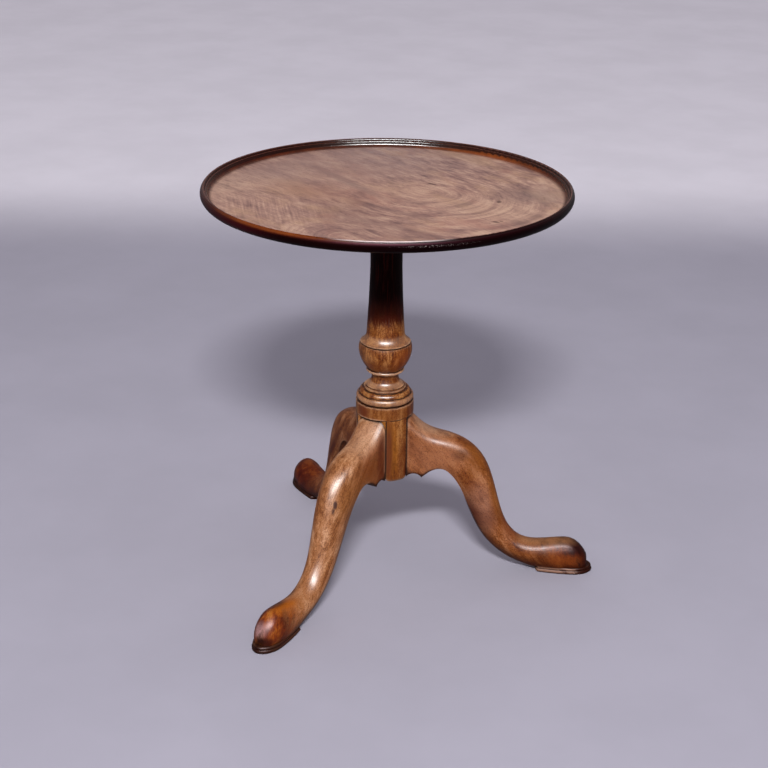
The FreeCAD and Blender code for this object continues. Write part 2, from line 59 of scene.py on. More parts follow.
def fade(tree, value, low, high, start=0.0, end=1.0):  # smooth change between two levels
    return addNode(tree, "MapRange", {"Value": value, "From Min": low, "From Max": high, "To Min": start,
                                      "To Max": end}, interpolation_type="SMOOTHSTEP").outputs[0]


def belowLevel(tree, value, level, soft):  # 1 below a level, 0 above it
    return fade(tree, value, level + soft, level - soft)


def solid(colour):  # with the fourth number that sockets ask for
    return (*colour, 1.0)


def blendColour(tree, share, under, over, way="MIX"):
    return addNode(tree, "Mix", {0: share, 6: under, 7: over}, data_type="RGBA", blend_type=way).outputs[2]


def blendLevel(tree, share, under, over):
    return addNode(tree, "Mix", {0: share, 2: under, 3: over}, data_type="FLOAT").outputs[0]


def colourBand(tree, value, stops):  # stops are (place, colour)
    made = addNode(tree, "ValToRGB", {"Fac": value})
    band = made.color_ramp
    while len(band.elements) < len(stops):
        band.elements.new(0.5)
    for element, (place, colour) in zip(band.elements, stops):
        element.position = place
        element.color = solid(colour)
    return made.outputs[0]


def stretched(tree, vector, by):
    return addNode(tree, "VectorMath", {0: vector, 1: by}, operation="MULTIPLY").outputs[0]


def moved(tree, vector, by):
    return addNode(tree, "VectorMath", {0: vector, 1: by}, operation="ADD").outputs[0]


def dotWith(tree, vector, way):
    return addNode(tree, "VectorMath", {0: vector, 1: way}, operation="DOT_PRODUCT").outputs["Value"]


def cloud(tree, vector, scale, detail=2.0, rough=0.5):
    return addNode(tree, "TexNoise", {"Vector": vector, "Scale": scale, "Detail": detail, "Roughness": rough})


def grainCloud(tree, vector, fineness, detail, rough):  # cloud drawn out along the grain
    return cloud(tree, stretched(tree, vector, fineness), 1.0, detail, rough).outputs[0]


def offCentre(tree, noise, reach):  # noise as a shift either way
    return both(tree, calc(tree, "SUBTRACT", noise, noiseMiddle), reach)


def lengthOf(tree, vector, keep=(1.0, 1.0, 1.0)):
    flat = stretched(tree, vector, keep)
    return addNode(tree, "VectorMath", {0: flat}, operation="LENGTH").outputs["Value"]


def spotAt(tree, vector, centre, halfSizes, edge=spotEdge):  # soft-edged oval patch, 1 inside
    away = addNode(tree, "VectorMath", {0: vector, 1: centre}, operation="SUBTRACT").outputs[0]
    away = addNode(tree, "VectorMath", {0: away, 1: halfSizes}, operation="DIVIDE").outputs[0]
    return fade(tree, lengthOf(tree, away), 1.0 + edge, 1.0 - edge)


def lineAt(tree, vector, start, end, halfWidth):  # soft mask along a straight run
    run = [b - a for a, b in zip(start, end)]
    middle = [(a + b) / 2.0 for a, b in zip(start, end)]
    local = addNode(tree, "Mapping", {"Vector": vector, "Location": middle,
                                      "Rotation": (0.0, 0.0, math.atan2(run[1], run[0]))},
                    vector_type="TEXTURE").outputs[0]
    return spotAt(tree, local, (0.0, 0.0, 0.0), (math.hypot(*run) / 2.0, halfWidth, lineDepth), lineEdge)


def proudEdges(tree, width):  # 1 on worn arrises, from how thin the wood is there
    thin = addNode(tree, "AmbientOcclusion", {"Distance": width}, samples=cornerSamples, inside=True, only_local=True)
    return fade(tree, thin.outputs["AO"], *arrisLevels)


def cornerWaxAndShade(tree, width):  # 1 deep in corners, from ambient occlusion: old wax gathered there together with painted shade
    closed = addNode(tree, "AmbientOcclusion", {"Distance": width}, samples=cornerSamples)
    return fade(tree, closed.outputs["AO"], *cornerLevels)


def underside(tree, start, end):  # 1 where the wood faces the floor
    way = addNode(tree, "TexCoord").outputs["Normal"]
    return fade(tree, addNode(tree, "SeparateXYZ", {0: way}).outputs[2], start, end)


def overlay(tree, share, amount, under, colour):  # lays a plain colour over another by share times amount
    return blendColour(tree, both(tree, share, amount), under, solid(colour))


def newFinish(name):
    finish = bpy.data.materials.new(name)
    finish.use_nodes = True
    finish.node_tree.nodes.clear()
    return finish, finish.node_tree


def closeFinish(tree, colour, rough, height=None, depth=0.0, strength=0.0, **fixed):
    inputs = {"Base Color": colour, "Roughness": rough}
    if height is not None:
        bump = addNode(tree, "Bump", {"Height": height, "Strength": strength, "Distance": depth})
        inputs["Normal"] = bump.outputs[0]
    inputs.update(fixed)
    shader = addNode(tree, "BsdfPrincipled", inputs)
    out = addNode(tree, "OutputMaterial")
    tree.links.new(shader.outputs[0], out.inputs["Surface"])


def heightOf(tree, vector):
    return addNode(tree, "SeparateXYZ", {0: vector}).outputs[2]


def bandAt(tree, value, middle, halfWidth):  # 1 within a narrow band of a value
    away = calc(tree, "ABSOLUTE", calc(tree, "SUBTRACT", value, middle))
    return fade(tree, away, *[halfWidth * edge for edge in bandEdges])


def ownSpace(tree, place, angle):  # turned about the upright, so that X runs out along a leg or across the ripple
    return addNode(tree, "Mapping", {"Vector": place, "Rotation": (0.0, 0.0, math.radians(angle))},
                   vector_type="TEXTURE").outputs[0]


def grainSpace(tree, turn, shift=(0.0, 0.0, 0.0)):  # X runs along the grain
    place = addNode(tree, "TexCoord").outputs["Object"]
    turned = addNode(tree, "Mapping", {"Vector": place, "Rotation": [math.radians(a) for a in turn]},
                     vector_type="TEXTURE").outputs[0]
    return place, moved(tree, turned, shift)


def swayed(tree, vector, scale, amount):  # bends the grain a little
    sway = cloud(tree, vector, scale).outputs["Color"]
    sway = addNode(tree, "VectorMath", {0: sway, 1: (noiseMiddle,) * 3}, operation="SUBTRACT").outputs[0]
    return moved(tree, vector, stretched(tree, sway, (amount * swayAlong, amount, amount)))


# layers of one stick of mahogany: fineness along and across the grain, detail, roughness
grainLook = {
    "bands": ((2.5, 75.0, 75.0), 3.0, 0.55), "streaks": ((14.0, 300.0, 300.0), 2.0, 0.6),
    "mottle": ((24.0, 60.0, 60.0), 5.0, 0.66), "fleck": ((330.0, 700.0, 700.0), 2.0, 0.7),
    "swayScale": 7.0, "fleckSoft": 0.1, "fleckShare": 0.30,
}


def straightGrain(tree, grain, look):  # tone, pores, mottle and streaks
    bent = swayed(tree, grain, grainLook["swayScale"], look["sway"])
    bands = grainCloud(tree, bent, *grainLook["bands"])
    streaks = grainCloud(tree, bent, *grainLook["streaks"])
    mottle = grainCloud(tree, grain, *grainLook["mottle"])
    fleck = grainCloud(tree, bent, *grainLook["fleck"])
    pores = fade(tree, fleck, look["fleckLow"], look["fleckLow"] + grainLook["fleckSoft"])
    tone = both(tree, bands, look["bandShare"])
    tone = calc(tree, "ADD", tone, both(tree, streaks, look["streakShare"]))
    tone = calc(tree, "ADD", tone, both(tree, mottle, look["mottleShare"]))
    tone = calc(tree, "SUBTRACT", tone, offCentre(tree, fleck, grainLook["fleckShare"]))
    tone = fade(tree, tone, look["toneLow"], look["toneHigh"])
    return tone, pores, mottle, streaks


# the column: golden turnings with pale crests (wear and painted sheen), dark quirks (old wax and painted shade),
# almost black under the top (old dark polish and a painted shadow of the top)
# in every look, Span holds two levels that a mask runs between, and Break two cloud levels with the share left at each
columnLook = {
    "sway": 0.010, "bandShare": 0.26, "streakShare": 0.26, "mottleShare": 0.48, "fleckLow": 0.56,
    "toneLow": 0.395, "toneHigh": 0.605,
    "stops": [(0.0, (0.070, 0.010, 0.0007)), (0.3, (0.150, 0.032, 0.0025)), (0.65, (0.245, 0.071, 0.008)),
              (1.0, (0.40, 0.165, 0.045))],
    "shadowAndPolishColour": (0.075, 0.0065, 0.0008), "shadowAndPolishFrom": 0.457, "shadowAndPolishTo": 0.471,
    "shadowAndPolishAmount": 0.92, "raggedReach": 0.06,
    "darkColour": (0.0060, 0.0002, 0.0002), "darkStreak": (0.028, 0.0018, 0.0008), "streakSpan": (0.48, 0.66),
    "darkFrom": 0.462, "darkTo": 0.512, "darkAmount": 0.98, "darkGloss": (0.03, 0.003, 0.004), "darkRough": 0.6,
    "dirtAndShadeColour": (0.010, 0.002, 0.0012), "cornerWidth": 0.010, "dirtAndShadeAmount": 0.85, "poreAmount": 0.38,
    "paleColour": (0.52, 0.30, 0.18), "wornWidth": 0.005, "wornAmount": 0.75, "wornBreak": (0.35, 0.6, 0.35, 1.0),
    "quirkColour": (0.026, 0.005, 0.0018), "quirkBreak": (0.36, 0.56, 0.45, 0.95), "bandWave": 0.005,
    "quirks": [(0.4225, 0.0012), (0.3762, 0.0014), (0.3695, 0.0011), (0.3452, 0.0006), (0.3400, 0.0007),
               (0.3319, 0.0008), (0.3189, 0.0009), (0.2955, 0.0010)],
    "wornAndSheenBands": [(0.3728, 0.0022, 0.6), (0.4300, 0.0085, 0.25), (0.3255, 0.0055, 0.35), (0.3490, 0.0035, 0.40)],
    "shadeAndStainBands": [(0.3620, 0.0075, (0.075, 0.013, 0.0025), 0.35), (0.3065, 0.0100, (0.150, 0.038, 0.005), 0.40)],
    "patchEdge": 0.5, "patchBreak": (0.3, 0.5, 0.4, 1.0),
    "patches": [((-0.0126, -0.0477, 0.307), (0.013, 0.013, 0.011), (0.11, 0.012, 0.003), 0.85),
                ((0.0415, -0.0087, 0.395), (0.018, 0.02, 0.022), (0.25, 0.05, 0.004), 0.6),
                ((-0.014, -0.040, 0.405), (0.02, 0.015, 0.018), (0.36, 0.16, 0.06), 0.35),
                ((0.028, -0.042, 0.240), (0.022, 0.022, 0.060), (0.40, 0.135, 0.010), 0.75),
                # painted shade on the lower part of the bowl
                ((0.0, -0.040, 0.385), (0.05, 0.03, 0.012), (0.15, 0.030, 0.002), 0.6),
                ((0.033, -0.036, 0.235), (0.007, 0.007, 0.06), (0.085, 0.010, 0.003), 0.8),
                ((0.046, -0.010, 0.215), (0.006, 0.012, 0.05), (0.11, 0.020, 0.004), 0.5)],
    "legAngles": (-90.0, 30.0, 150.0), "legHalf": 0.0285, "jointGap": 0.0006, "jointHalf": 0.0011,
    "drumTop": (0.2955, 0.0005), "drumFoot": (0.184, 0.004), "footAmount": 0.8,  # heights and softness
    "rough": (0.28, 0.37), "gloss": 1.34, "bumpDepth": 0.0002, "bumpStrength": 0.25,
}


def columnFinish(look):
    finish, tree = newFinish("columnMahogany")
    place, grain = grainSpace(tree, (0.0, -90.0, 0.0))
    tone, pores, mottle, streaks = straightGrain(tree, grain, look)
    colour = colourBand(tree, tone, look["stops"])
    colour = overlay(tree, pores, look["poreAmount"], colour, look["dirtAndShadeColour"])
    z = heightOf(tree, place)
    wavy = calc(tree, "ADD", z, offCentre(tree, mottle, look["bandWave"]))
    for centre, halfSizes, tint, amount in look["patches"]:
        patch = spotAt(tree, place, centre, halfSizes, look["patchEdge"])
        patch = both(tree, patch, fade(tree, mottle, *look["patchBreak"]))
        colour = overlay(tree, patch, amount, colour, tint)
    # pale bands round the ring, flare, torus and sweep: wear together with painted sheen
    for middle, halfWidth, amount in look["wornAndSheenBands"]:
        colour = overlay(tree, bandAt(tree, wavy, middle, halfWidth), amount, colour, look["paleColour"])
    # the band under the ring is painted shade; the band on the collar is a darker stain
    for middle, halfWidth, tint, amount in look["shadeAndStainBands"]:
        colour = overlay(tree, bandAt(tree, wavy, middle, halfWidth), amount, colour, tint)
    worn = both(tree, proudEdges(tree, look["wornWidth"]), fade(tree, mottle, *look["wornBreak"]))
    colour = overlay(tree, worn, look["wornAmount"], colour, look["paleColour"])
    # the shaft under the top is painted dark: old dark polish together with a painted shadow of the top, with its
    # gloss dimmed there
    ragged = calc(tree, "ADD", z, offCentre(tree, streaks, look["raggedReach"]))
    shadowAndOldPolish = fade(tree, ragged, look["shadowAndPolishFrom"], look["shadowAndPolishTo"], 0.0, look["shadowAndPolishAmount"])
    colour = overlay(tree, shadowAndOldPolish, 1.0, colour, look["shadowAndPolishColour"])
    dark = fade(tree, ragged, look["darkFrom"], look["darkTo"], 0.0, look["darkAmount"])
    black = blendColour(tree, fade(tree, streaks, *look["streakSpan"]), solid(look["darkColour"]),
                        solid(look["darkStreak"]))
    colour = blendColour(tree, dark, colour, black)
    # old wax together with painted shade deep in the corners
    colour = overlay(tree, cornerWaxAndShade(tree, look["cornerWidth"]), look["dirtAndShadeAmount"], colour, look["dirtAndShadeColour"])
    # dark lines in the grooves: old wax together with painted shade
    for middle, halfWidth in look["quirks"]:
        ring = bandAt(tree, wavy, middle, halfWidth)
        colour = overlay(tree, ring, fade(tree, mottle, *look["quirkBreak"]), colour, look["quirkColour"])
    onDrum = belowLevel(tree, z, *look["drumTop"])
    for angle in look["legAngles"]:  # old polish in the joints beside the legs
        out, across = addNode(tree, "SeparateXYZ", {0: ownSpace(tree, place, angle)}).outputs[0:2]
        joint = bandAt(tree, calc(tree, "ABSOLUTE", across), look["legHalf"] + look["jointGap"], look["jointHalf"])
        joint = both(tree, joint, calc(tree, "GREATER_THAN", out, 0.0))
        colour = overlay(tree, both(tree, joint, onDrum), look["dirtAndShadeAmount"], colour, look["dirtAndShadeColour"])
    # painted shade along the foot of the drum
    foot = both(tree, belowLevel(tree, z, *look["drumFoot"]), onDrum)
    colour = overlay(tree, foot, look["footAmount"], colour, look["dirtAndShadeColour"])
    gloss = blendColour(tree, shadowAndOldPolish, solid(fullGloss), solid(look["darkGloss"]))
    rough = fade(tree, mottle, *mottleSpan, *look["rough"])
    rough = blendLevel(tree, shadowAndOldPolish, rough, look["darkRough"])
    closeFinish(tree, colour, rough, calc(tree, "SUBTRACT", streaks, pores), look["bumpDepth"],
                look["bumpStrength"], **{"IOR": look["gloss"], "Specular Tint": gloss})
    return finish


# the legs: tan shins peppered with dark flecks, redder feet, black at the toes and soles
legLook = {
    "sway": 0.02, "bandShare": 0.30, "streakShare": 0.22, "mottleShare": 0.48, "fleckLow": 0.55,
    "toneLow": 0.375, "toneHigh": 0.625, "grainFall": 56.0,
    "dirtAndShadeColour": (0.012, 0.0025, 0.0015), "cornerWidth": 0.012, "dirtAndShadeAmount": 0.85, "poreAmount": 0.45,
    "wornWidth": 0.008, "wornAmount": 0.5, "wornBreak": (0.35, 0.6, 0.3, 1.0), "lowEdgeShadeAmount": 0.9,
    "patchEdge": 0.6, "patchBreak": (0.3, 0.55, 0.5, 1.0), "patchReach": 0.14,
    "scarColour": (0.040, 0.006, 0.0035), "scarBreak": (0.30, 0.45), "scarAmount": 0.92,
    "toeColour": (0.013, 0.0010, 0.0018), "toeAmount": 0.92, "soleAmount": 0.92,
    "soleGloss": (0.30, 0.24, 0.25), "soleHeel": (0.262, 0.268), "soleSpan": (0.31, 0.35),
    "footGloss": (0.46, 0.36, 0.36), "footSpan": (0.36, 0.64), "footAmount": 0.94, "footRough": 0.35,
    "underColour": (0.030, 0.0035, 0.0012), "underSpan": (0.10, -0.55), "underBreak": (0.35, 0.6, 0.5, 0.85),
    "seat": 0.0397, "jointReach": (0.0026, 0.0008), "rough": (0.33, 0.41), "bumpDepth": 0.0002, "bumpStrength": 0.25,
    "soleHeight": (0.0115, 0.001), "bracketReach": (0.105, 0.01), "bracketLow": (0.20, 0.005),  # level and softness
    "legs": {
        "leg_front": {"angle": -90.0, "seed": (0.0, 0.3, 0.1), "grain": {"toneLow": 0.345, "toneHigh": 0.665},
                      "footFrom": 0.262, "footTo": 0.325,
                      "toe": (0.356, 0.390), "gloss": 1.36,
                      "footStops": [(0.0, (0.070, 0.0060, 0.0008)), (0.4, (0.145, 0.018, 0.0010)),
                                    (0.75, (0.245, 0.045, 0.0015)), (1.0, (0.36, 0.105, 0.008))],
                      "soleColours": ((0.040, 0.012, 0.007), (0.016, 0.004, 0.003)),
                      "stops": [(0.0, (0.155, 0.039, 0.006)), (0.3, (0.305, 0.108, 0.031)),
                                (0.7, (0.440, 0.187, 0.076)), (1.0, (0.58, 0.30, 0.155))],
                      "paleColour": (0.58, 0.32, 0.18),
                      "patches": [((0.300, 0.006, 0.056), (0.026, 0.012, 0.016), (0.38, 0.095, 0.004), 0.9),
                                  # painted highlight on the toe
                                  ((0.354, -0.003, 0.034), (0.013, 0.011, 0.012), (0.42, 0.24, 0.235), 0.8),
                                  ((0.070, 0.010, 0.265), (0.040, 0.025, 0.030), (0.60, 0.34, 0.21), 0.5),
                                  # this patch and the next: painted shade down the far side of the foot and along its
                                  # top edge
                                  ((0.318, -0.024, 0.040), (0.050, 0.013, 0.050), (0.026, 0.002, 0.001), 0.97),
                                  ((0.309, -0.006, 0.0586), (0.020, 0.010, 0.010), (0.030, 0.003, 0.001), 0.85),
                                  ((0.360, 0.008, 0.018), (0.012, 0.014, 0.008), (0.014, 0.001, 0.0015), 0.9),
                                  # darker along the left flank of the knee: dirt together with painted shade
                                  ((0.181, -0.018, 0.185), (0.030, 0.010, 0.060), (0.20, 0.062, 0.016), 0.55),
                                  ((0.252, 0.004, 0.070), (0.030, 0.030, 0.026), (0.27, 0.085, 0.018), 0.5),
                                  # darker along the left flank of the knee: dirt together with painted shade
                                  ((0.150, -0.014, 0.225), (0.030, 0.010, 0.020), (0.18, 0.055, 0.014), 0.5),
                                  # painted shade on the far side of the ankle
                                  ((0.262, -0.018, 0.060), (0.022, 0.009, 0.014), (0.05, 0.009, 0.003), 0.75),
                                  ((0.075, 0.031, 0.215), (0.050, 0.009, 0.060), (0.21, 0.042, 0.0005), 0.85),
                                  ((0.052, 0.031, 0.225), (0.012, 0.010, 0.055), (0.10, 0.010, 0.0005), 0.8),
                                  ((0.130, 0.024, 0.190), (0.05, 0.010, 0.03), (0.30, 0.10, 0.016), 0.6)],
                      "scars": [((0.1745, 0.0184, 0.1905), (0.0040, 0.0030, 0.0075)),
                                ((0.1785, 0.0172, 0.1795), (0.0030, 0.0024, 0.0062))]},
        "leg_right": {"angle": 30.0, "seed": (1.7, 0.9, 0.4), "grain": {"toneLow": 0.35, "toneHigh": 0.65},
                      "footFrom": 0.215, "footTo": 0.33,
                      "toe": (0.338, 0.372), "gloss": 1.28,
                      "footStops": [(0.0, (0.012, 0.0007, 0.0005)), (0.35, (0.050, 0.0045, 0.0006)),
                                    (0.7, (0.100, 0.014, 0.001)), (1.0, (0.20, 0.050, 0.008))],
                      "soleColours": ((0.26, 0.140, 0.095), (0.026, 0.005, 0.0025)),
                      "stops": [(0.0, (0.080, 0.012, 0.0010)), (0.3, (0.178, 0.042, 0.0050)),
                                (0.7, (0.285, 0.086, 0.018)), (1.0, (0.43, 0.172, 0.068))],
                      "paleColour": (0.46, 0.235, 0.13),
                      "patches": [((0.085, -0.026, 0.225), (0.05, 0.016, 0.045), (0.37, 0.138, 0.060), 0.75),
                                  ((0.095, 0.000, 0.275), (0.050, 0.030, 0.020), (0.48, 0.27, 0.165), 0.7),
                                  ((0.349, 0.002, 0.054), (0.032, 0.034, 0.017), (0.018, 0.0013, 0.003), 0.92),
                                  ((0.155, -0.012, 0.215), (0.022, 0.018, 0.035), (0.22, 0.058, 0.002), 0.8),
                                  # painted sheen along the near flank of the shin
                                  ((0.168, -0.0245, 0.118), (0.028, 0.010, 0.050), (0.42, 0.195, 0.125), 0.6),
                                  ((0.195, -0.010, 0.130), (0.025, 0.011, 0.055), (0.27, 0.078, 0.005), 0.6),
                                  ((0.152, -0.012, 0.110), (0.018, 0.016, 0.060), (0.070, 0.008, 0.001), 0.75),
                                  ((0.132, -0.0255, 0.2267), (0.014, 0.008, 0.010), (0.10, 0.022, 0.003), 0.6),
                                  ((0.165, -0.016, 0.105), (0.045, 0.03, 0.020), (0.085, 0.010, 0.001), 0.55),
                                  ((0.215, -0.006, 0.075), (0.03, 0.014, 0.03), (0.16, 0.030, 0.006), 0.6),
                                  ((0.285, -0.004, 0.058), (0.05, 0.014, 0.010), (0.32, 0.15, 0.066), 0.65),
                                  ((0.32, -0.022, 0.026), (0.03, 0.010, 0.012), (0.23, 0.050, 0.008), 0.6)],
                      "scars": []},
        "leg_left": {"angle": 150.0, "seed": (3.1, 1.9, 2.2), "grain": {}, "footFrom": 0.2, "footTo": 0.30,
                     "toe": (0.340, 0.376), "gloss": 1.24,
                     "footStops": [(0.0, (0.048, 0.0022, 0.0006)), (0.4, (0.080, 0.0055, 0.0007)),
                                   (0.75, (0.110, 0.013, 0.0010)), (1.0, (0.165, 0.030, 0.003))],
                     "soleColours": ((0.03, 0.010, 0.007), (0.02, 0.006, 0.005)),
                     "stops": [(0.0, (0.074, 0.012, 0.002)), (0.3, (0.160, 0.041, 0.009)),
                               (0.7, (0.250, 0.081, 0.023)), (1.0, (0.38, 0.155, 0.062))],
                     "paleColour": (0.38, 0.19, 0.10),
                     "patches": [((0.075, 0.0, 0.285), (0.045, 0.03, 0.02), (0.46, 0.25, 0.145), 0.7),
                                 ((0.33, 0.0, 0.06), (0.03, 0.014, 0.02), (0.15, 0.035, 0.010), 0.6)],
                     "scars": []},
    },
}


def legFinish(name, look, leg):
    finish, tree = newFinish(name)
    place, grain = grainSpace(tree, (0.0, look["grainFall"], leg["angle"]), leg["seed"])
    own = ownSpace(tree, place, leg["angle"])
    out = addNode(tree, "SeparateXYZ", {0: own}).outputs[0]
    z = heightOf(tree, place)
    tone, pores, mottle, streaks = straightGrain(tree, grain, {**look, **leg["grain"]})
    colour = colourBand(tree, tone, leg["stops"])
    patchy = calc(tree, "ADD", out, offCentre(tree, mottle, look["patchReach"]))
    foot = fade(tree, patchy, leg["footFrom"], leg["footTo"])
    footTone = colourBand(tree, fade(tree, mottle, *look["footSpan"]), leg["footStops"])
    colour = blendColour(tree, both(tree, foot, look["footAmount"]), colour, footTone)
    for centre, halfSizes, tint, amount in leg["patches"]:
        patch = spotAt(tree, own, centre, halfSizes, look["patchEdge"])
        patch = both(tree, patch, fade(tree, mottle, *look["patchBreak"]))
        colour = overlay(tree, patch, amount, colour, tint)
    colour = overlay(tree, pores, look["poreAmount"], colour, look["dirtAndShadeColour"])
    proud = proudEdges(tree, look["wornWidth"])
    low = both(tree, belowLevel(tree, out, *look["bracketReach"]), belowLevel(tree, z, *look["bracketLow"]))
    worn = both(tree, proud, fade(tree, mottle, *look["wornBreak"]))
    worn = both(tree, worn, calc(tree, "SUBTRACT", 1.0, low))
    colour = overlay(tree, worn, look["wornAmount"], colour, leg["paleColour"])
    colour = overlay(tree, both(tree, proud, low), look["lowEdgeShadeAmount"], colour, look["dirtAndShadeColour"])  # painted shade along the lower edges of the bracket, with dirt
    joint = fade(tree, out, *[look["seat"] + reach for reach in look["jointReach"]])
    colour = overlay(tree, joint, look["dirtAndShadeAmount"], colour, look["dirtAndShadeColour"])
    colour = overlay(tree, fade(tree, patchy, *leg["toe"]), look["toeAmount"], colour, look["toeColour"])
    sole = both(tree, belowLevel(tree, z, *look["soleHeight"]), fade(tree, out, *look["soleHeel"]))
    soleTone = blendColour(tree, fade(tree, patchy, *look["soleSpan"]), *[solid(tint) for tint in leg["soleColours"]])
    colour = blendColour(tree, both(tree, sole, look["soleAmount"]), colour, soleTone)
    for centre, halfSizes in leg["scars"]:
        scar = both(tree, spotAt(tree, own, centre, halfSizes), fade(tree, streaks, *look["scarBreak"]))
        colour = overlay(tree, scar, look["scarAmount"], colour, look["scarColour"])
    # old wax together with painted shade deep in the corners
    colour = overlay(tree, cornerWaxAndShade(tree, look["cornerWidth"]), look["dirtAndShadeAmount"], colour, look["dirtAndShadeColour"])
    # painted shade: darker where the wood faces the floor
    below = underside(tree, *look["underSpan"])
    colour = overlay(tree, below, fade(tree, mottle, *look["underBreak"]), colour, look["underColour"])
    gloss = blendColour(tree, foot, solid(fullGloss), solid(look["footGloss"]))
    tip = calc(tree, "MAXIMUM", sole, fade(tree, out, *leg["toe"]))
    gloss = blendColour(tree, tip, gloss, solid(look["soleGloss"]))
    rough = fade(tree, mottle, *mottleSpan, *look["rough"])
    rough = blendLevel(tree, foot, rough, look["footRough"])
    closeFinish(tree, colour, rough, calc(tree, "SUBTRACT", streaks, pores), look["bumpDepth"],
                look["bumpStrength"], **{"IOR": leg["gloss"], "Specular Tint": gloss})
    return finish


